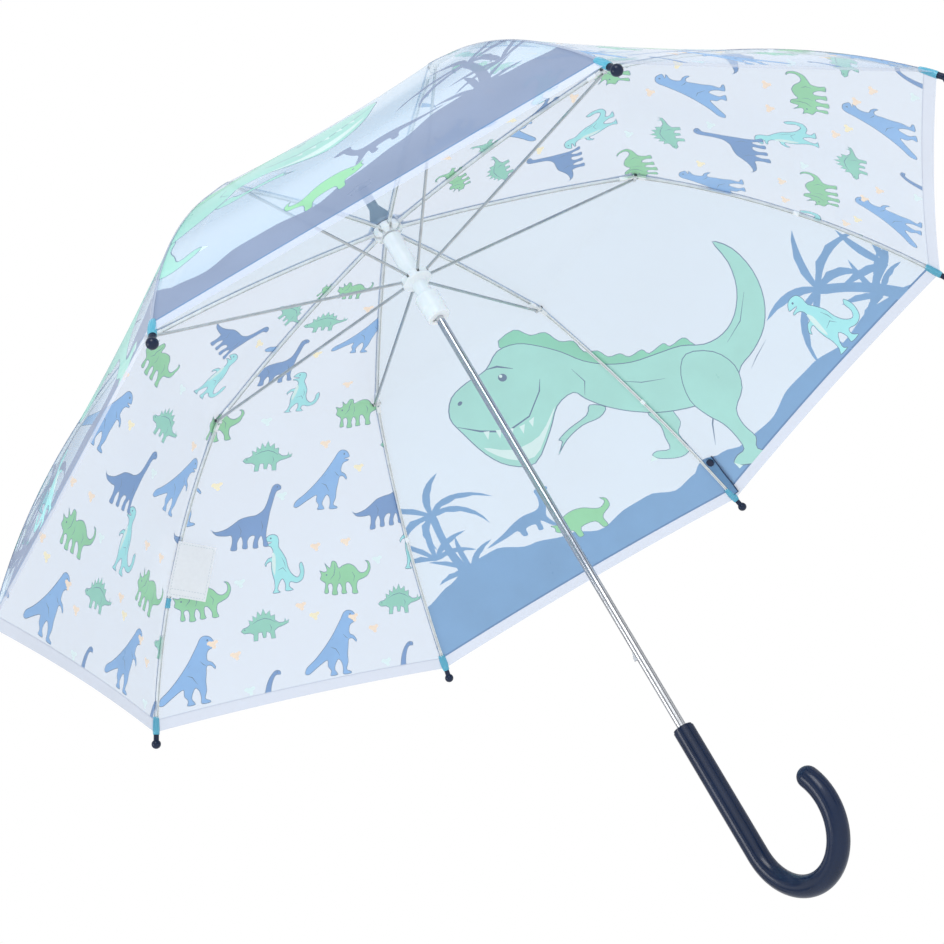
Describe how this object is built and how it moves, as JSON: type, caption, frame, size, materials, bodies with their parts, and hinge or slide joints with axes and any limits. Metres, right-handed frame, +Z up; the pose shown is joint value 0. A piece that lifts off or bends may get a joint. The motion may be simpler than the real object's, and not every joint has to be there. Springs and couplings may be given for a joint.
{
  "type": "children's umbrella",
  "caption": "Open children's stick umbrella with a clear printed film canopy, sliding runner, folding steel ribs and a J-shaped hook handle.",
  "frame": {"origin": "middle of the straight grip of the handle, on the shaft's axis", "axes": "+Z up along the shaft towards the ferrule, +X towards the open end of the hook, so the hook lies in the XZ plane"},
  "size_m": [0.784, 0.784, 0.6872],
  "materials": {
    "chrome_tube": "polished",
    "white_plastic": "satin",
    "pin_steel": "drawn wire",
    "navy_plastic": "glossy",
    "rib_steel": "plated",
    "clear_film": "clear soft film with printed areas",
    "blue_film": "translucent",
    "label_fabric": "plain woven"
  },
  "bodies": {
    "shaft": {"shaft_tube": "chrome_tube", "crown": "white_plastic", "crown_pins": "pin_steel", "ferrule": "navy_plastic", "handle": "navy_plastic"},
    "upper_catch": {"upper_catch": "pin_steel"},
    "lower_catch": {"lower_catch": "pin_steel"},
    "runner": {"runner": "white_plastic", "runner_pins": "pin_steel"},
    "inner_0": {"rib_inner_0": "rib_steel", "canopy_panel_0": "clear_film"},
    "outer_0": {"rib_outer_0": "rib_steel", "rib_tip_0": "navy_plastic", "care_label": "label_fabric"},
    "stretcher_0": {"stretcher_0": "rib_steel"},
    "inner_1": {"rib_inner_1": "rib_steel", "canopy_panel_1": "clear_film"},
    "outer_1": {"rib_outer_1": "rib_steel", "rib_tip_1": "navy_plastic"},
    "stretcher_1": {"stretcher_1": "rib_steel"},
    "inner_2": {"rib_inner_2": "rib_steel", "canopy_panel_2": "clear_film"},
    "outer_2": {"rib_outer_2": "rib_steel", "rib_tip_2": "navy_plastic", "closing_strap": "blue_film", "strap_button": "navy_plastic"},
    "stretcher_2": {"stretcher_2": "rib_steel"},
    "inner_3": {"rib_inner_3": "rib_steel", "canopy_panel_3": "clear_film"},
    "outer_3": {"rib_outer_3": "rib_steel", "rib_tip_3": "navy_plastic"},
    "stretcher_3": {"stretcher_3": "rib_steel"},
    "inner_4": {"rib_inner_4": "rib_steel", "canopy_panel_4": "clear_film"},
    "outer_4": {"rib_outer_4": "rib_steel", "rib_tip_4": "navy_plastic"},
    "stretcher_4": {"stretcher_4": "rib_steel"},
    "inner_5": {"rib_inner_5": "rib_steel", "canopy_panel_5": "clear_film"},
    "outer_5": {"rib_outer_5": "rib_steel", "rib_tip_5": "navy_plastic"},
    "stretcher_5": {"stretcher_5": "rib_steel"},
    "inner_6": {"rib_inner_6": "rib_steel", "canopy_panel_6": "clear_film"},
    "outer_6": {"rib_outer_6": "rib_steel", "rib_tip_6": "navy_plastic"},
    "stretcher_6": {"stretcher_6": "rib_steel"},
    "inner_7": {"rib_inner_7": "rib_steel", "canopy_panel_7": "clear_film"},
    "outer_7": {"rib_outer_7": "rib_steel", "rib_tip_7": "navy_plastic"},
    "stretcher_7": {"stretcher_7": "rib_steel"}
  },
  "joints": [
    {"name": "canopy_fold", "type": "hinge", "parent": "shaft", "child": "inner_0", "pos_m": [-0.00878, -0.00364, 0.536], "axis": [0.3827, -0.9239, 0], "range_deg": [0, 79], "deforming": ["canopy_panel_0"]},
    {"name": "rib_fold_1", "type": "hinge", "parent": "shaft", "child": "inner_1", "pos_m": [-0.00878, 0.00364, 0.536], "axis": [-0.3827, -0.9239, 0], "range_deg": [0, 79], "deforming": ["canopy_panel_1"]},
    {"name": "rib_fold_2", "type": "hinge", "parent": "shaft", "child": "inner_2", "pos_m": [-0.00364, 0.00878, 0.536], "axis": [-0.9239, -0.3827, 0], "range_deg": [0, 79], "deforming": ["canopy_panel_2"]},
    {"name": "rib_fold_3", "type": "hinge", "parent": "shaft", "child": "inner_3", "pos_m": [0.00364, 0.00878, 0.536], "axis": [-0.9239, 0.3827, 0], "range_deg": [0, 79], "deforming": ["canopy_panel_3"]},
    {"name": "rib_fold_4", "type": "hinge", "parent": "shaft", "child": "inner_4", "pos_m": [0.00878, 0.00364, 0.536], "axis": [-0.3827, 0.9239, 0], "range_deg": [0, 79], "deforming": ["canopy_panel_4"]},
    {"name": "rib_fold_5", "type": "hinge", "parent": "shaft", "child": "inner_5", "pos_m": [0.00878, -0.00364, 0.536], "axis": [0.3827, 0.9239, 0], "range_deg": [0, 79], "deforming": ["canopy_panel_5"]},
    {"name": "rib_fold_6", "type": "hinge", "parent": "shaft", "child": "inner_6", "pos_m": [0.00364, -0.00878, 0.536], "axis": [0.9239, 0.3827, 0], "range_deg": [0, 79], "deforming": ["canopy_panel_6"]},
    {"name": "rib_fold_7", "type": "hinge", "parent": "shaft", "child": "inner_7", "pos_m": [-0.00364, -0.00878, 0.536], "axis": [0.9239, -0.3827, 0], "range_deg": [0, 79], "deforming": ["canopy_panel_7"]},
    {"name": "rib_flex_0", "type": "hinge", "parent": "inner_0", "child": "outer_0", "pos_m": [-0.2051, -0.08496, 0.51], "axis": [0.3827, -0.9239, 0], "range_deg": [-31.6, 0]},
    {"name": "rib_flex_1", "type": "hinge", "parent": "inner_1", "child": "outer_1", "pos_m": [-0.2051, 0.08496, 0.51], "axis": [-0.3827, -0.9239, 0], "range_deg": [-31.6, 0]},
    {"name": "rib_flex_2", "type": "hinge", "parent": "inner_2", "child": "outer_2", "pos_m": [-0.08496, 0.2051, 0.51], "axis": [-0.9239, -0.3827, 0], "range_deg": [-31.6, 0]},
    {"name": "rib_flex_3", "type": "hinge", "parent": "inner_3", "child": "outer_3", "pos_m": [0.08496, 0.2051, 0.51], "axis": [-0.9239, 0.3827, 0], "range_deg": [-31.6, 0]},
    {"name": "rib_flex_4", "type": "hinge", "parent": "inner_4", "child": "outer_4", "pos_m": [0.2051, 0.08496, 0.51], "axis": [-0.3827, 0.9239, 0], "range_deg": [-31.6, 0]},
    {"name": "rib_flex_5", "type": "hinge", "parent": "inner_5", "child": "outer_5", "pos_m": [0.2051, -0.08496, 0.51], "axis": [0.3827, 0.9239, 0], "range_deg": [-31.6, 0]},
    {"name": "rib_flex_6", "type": "hinge", "parent": "inner_6", "child": "outer_6", "pos_m": [0.08496, -0.2051, 0.51], "axis": [0.9239, 0.3827, 0], "range_deg": [-31.6, 0]},
    {"name": "rib_flex_7", "type": "hinge", "parent": "inner_7", "child": "outer_7", "pos_m": [-0.08496, -0.2051, 0.51], "axis": [0.9239, -0.3827, 0], "range_deg": [-31.6, 0]},
    {"name": "stretcher_fold_0", "type": "hinge", "parent": "inner_0", "child": "stretcher_0", "pos_m": [-0.2051, -0.08496, 0.51], "axis": [0.3827, -0.9239, 0], "range_deg": [-158, 0]},
    {"name": "stretcher_fold_1", "type": "hinge", "parent": "inner_1", "child": "stretcher_1", "pos_m": [-0.2051, 0.08496, 0.51], "axis": [-0.3827, -0.9239, 0], "range_deg": [-158, 0]},
    {"name": "stretcher_fold_2", "type": "hinge", "parent": "inner_2", "child": "stretcher_2", "pos_m": [-0.08496, 0.2051, 0.51], "axis": [-0.9239, -0.3827, 0], "range_deg": [-158, 0]},
    {"name": "stretcher_fold_3", "type": "hinge", "parent": "inner_3", "child": "stretcher_3", "pos_m": [0.08496, 0.2051, 0.51], "axis": [-0.9239, 0.3827, 0], "range_deg": [-158, 0]},
    {"name": "stretcher_fold_4", "type": "hinge", "parent": "inner_4", "child": "stretcher_4", "pos_m": [0.2051, 0.08496, 0.51], "axis": [-0.3827, 0.9239, 0], "range_deg": [-158, 0]},
    {"name": "stretcher_fold_5", "type": "hinge", "parent": "inner_5", "child": "stretcher_5", "pos_m": [0.2051, -0.08496, 0.51], "axis": [0.3827, 0.9239, 0], "range_deg": [-158, 0]},
    {"name": "stretcher_fold_6", "type": "hinge", "parent": "inner_6", "child": "stretcher_6", "pos_m": [0.08496, -0.2051, 0.51], "axis": [0.9239, 0.3827, 0], "range_deg": [-158, 0]},
    {"name": "stretcher_fold_7", "type": "hinge", "parent": "inner_7", "child": "stretcher_7", "pos_m": [-0.08496, -0.2051, 0.51], "axis": [0.9239, -0.3827, 0], "range_deg": [-158, 0]},
    {"name": "runner_hinge", "type": "hinge", "parent": "stretcher_0", "child": "runner", "pos_m": [-0.00878, -0.00364, 0.484], "axis": [0.3827, -0.9239, 0], "range_deg": [0, 79]},
    {"name": "upper_catch_press", "type": "slide", "parent": "shaft", "child": "upper_catch", "axis": [-0.7071, -0.7071, 0], "range_m": [-0.002, 0], "stiffness_N_per_m": 150},
    {"name": "lower_catch_press", "type": "slide", "parent": "shaft", "child": "lower_catch", "axis": [-0.7071, -0.7071, 0], "range_m": [-0.002, 0], "stiffness_N_per_m": 150}
  ],
  "couplings": [
    {"joint": "rib_fold_1", "follows": "canopy_fold", "ratio": 1},
    {"joint": "rib_fold_2", "follows": "canopy_fold", "ratio": 1},
    {"joint": "rib_fold_3", "follows": "canopy_fold", "ratio": 1},
    {"joint": "rib_fold_4", "follows": "canopy_fold", "ratio": 1},
    {"joint": "rib_fold_5", "follows": "canopy_fold", "ratio": 1},
    {"joint": "rib_fold_6", "follows": "canopy_fold", "ratio": 1},
    {"joint": "rib_fold_7", "follows": "canopy_fold", "ratio": 1},
    {"joint": "rib_flex_0", "follows": "canopy_fold", "ratio": -0.3993},
    {"joint": "rib_flex_1", "follows": "canopy_fold", "ratio": -0.3993},
    {"joint": "rib_flex_2", "follows": "canopy_fold", "ratio": -0.3993},
    {"joint": "rib_flex_3", "follows": "canopy_fold", "ratio": -0.3993},
    {"joint": "rib_flex_4", "follows": "canopy_fold", "ratio": -0.3993},
    {"joint": "rib_flex_5", "follows": "canopy_fold", "ratio": -0.3993},
    {"joint": "rib_flex_6", "follows": "canopy_fold", "ratio": -0.3993},
    {"joint": "rib_flex_7", "follows": "canopy_fold", "ratio": -0.3993},
    {"joint": "stretcher_fold_0", "follows": "canopy_fold", "ratio": -2},
    {"joint": "stretcher_fold_1", "follows": "canopy_fold", "ratio": -2},
    {"joint": "stretcher_fold_2", "follows": "canopy_fold", "ratio": -2},
    {"joint": "stretcher_fold_3", "follows": "canopy_fold", "ratio": -2},
    {"joint": "stretcher_fold_4", "follows": "canopy_fold", "ratio": -2},
    {"joint": "stretcher_fold_5", "follows": "canopy_fold", "ratio": -2},
    {"joint": "stretcher_fold_6", "follows": "canopy_fold", "ratio": -2},
    {"joint": "stretcher_fold_7", "follows": "canopy_fold", "ratio": -2},
    {"joint": "runner_hinge", "follows": "canopy_fold", "ratio": 1}
  ]
}
